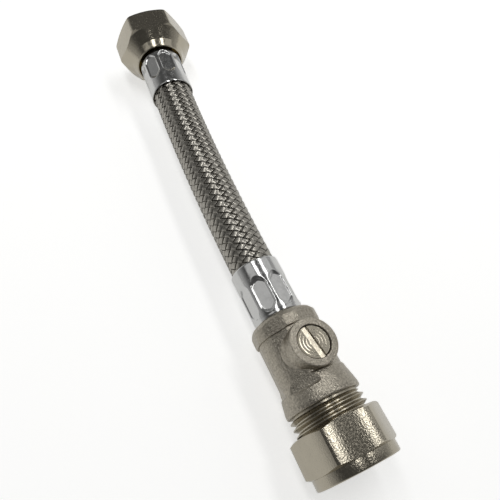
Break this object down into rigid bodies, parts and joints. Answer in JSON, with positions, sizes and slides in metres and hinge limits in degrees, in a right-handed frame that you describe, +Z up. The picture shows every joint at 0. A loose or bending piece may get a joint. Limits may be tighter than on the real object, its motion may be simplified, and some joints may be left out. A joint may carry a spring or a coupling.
{
  "type": "flexible tap connector hose with isolating valve",
  "caption": "Short braided water hose with a swivel tap nut on one end and a quarter-turn isolating valve with a compression joint for copper pipe on the other.",
  "frame": {"origin": "centre of the bounding box at the plane of the lower nut flats that the connector lies on", "axes": "+X from the pipe entry towards the tap nut, +Z up, so that the valve's boss leans 15 degrees from +Z towards -Y"},
  "size_m": [0.1686, 0.0336, 0.0246],
  "materials": {
    "nickel_plate": "bright nickel plate on machined brass",
    "matt_nickel": "matt nickel plate on forged brass",
    "stainless": "polished stainless tube",
    "wire_braid": "woven stainless wire",
    "plain_brass": "turned brass",
    "chromed_brass": "polished chrome plate",
    "rubber": "smooth black rubber",
    "washer_rubber": "flat black washer",
    "ptfe": "white low-friction plastic"
  },
  "bodies": {
    "valve_end": {"valve_body": "matt_nickel", "inlet_ball_seat": "ptfe", "outlet_ball_seat": "ptfe", "valve_hose_tail": "plain_brass", "valve_ferrule": "stainless", "hose_liner": "rubber", "hose_braid": "wire_braid"},
    "tap_end": {"tap_tailpiece": "plain_brass", "tap_ferrule": "stainless"},
    "tap_nut": {"swivel_nut": "nickel_plate", "sealing_washer": "washer_rubber"},
    "spindle": {"valve_spindle": "matt_nickel", "valve_ball": "chromed_brass", "spindle_thrust_washer": "ptfe", "spindle_o_ring": "rubber"},
    "olive": {"compression_olive": "plain_brass"},
    "pipe_nut": {"compression_nut": "nickel_plate"}
  },
  "joints": [
    {"name": "hose_bend", "type": "hinge", "parent": "valve_end", "child": "tap_end", "pos_m": [0.01408, 0.00209, 0.012], "axis": [0, 0, 1], "range_deg": [-30, 30], "stiffness_Nm_per_rad": 0.4, "deforming": ["hose_braid", "hose_liner"]},
    {"name": "nut_swivel", "type": "hinge", "parent": "tap_end", "child": "tap_nut", "pos_m": [0.08328, -0.00304, 0.012], "axis": [0.9963, -0.0854, 0], "continuous": true},
    {"name": "valve_turn", "type": "hinge", "parent": "valve_end", "child": "spindle", "pos_m": [-0.05247, 0.00289, 0.012], "axis": [0, -0.2588, 0.9659], "continuous": true},
    {"name": "nut_travel", "type": "slide", "parent": "valve_end", "child": "olive", "axis": [-1, 0, 0], "range_m": [0, 0.00545]},
    {"name": "nut_turn", "type": "hinge", "parent": "olive", "child": "pipe_nut", "pos_m": [-0.08431, 0.00289, 0.012], "axis": [-1, 0, 0], "range_deg": [0, 1080]}
  ],
  "couplings": [
    {"joint": "nut_travel", "follows": "nut_turn", "m_per_rad": 0.00028871}
  ]
}
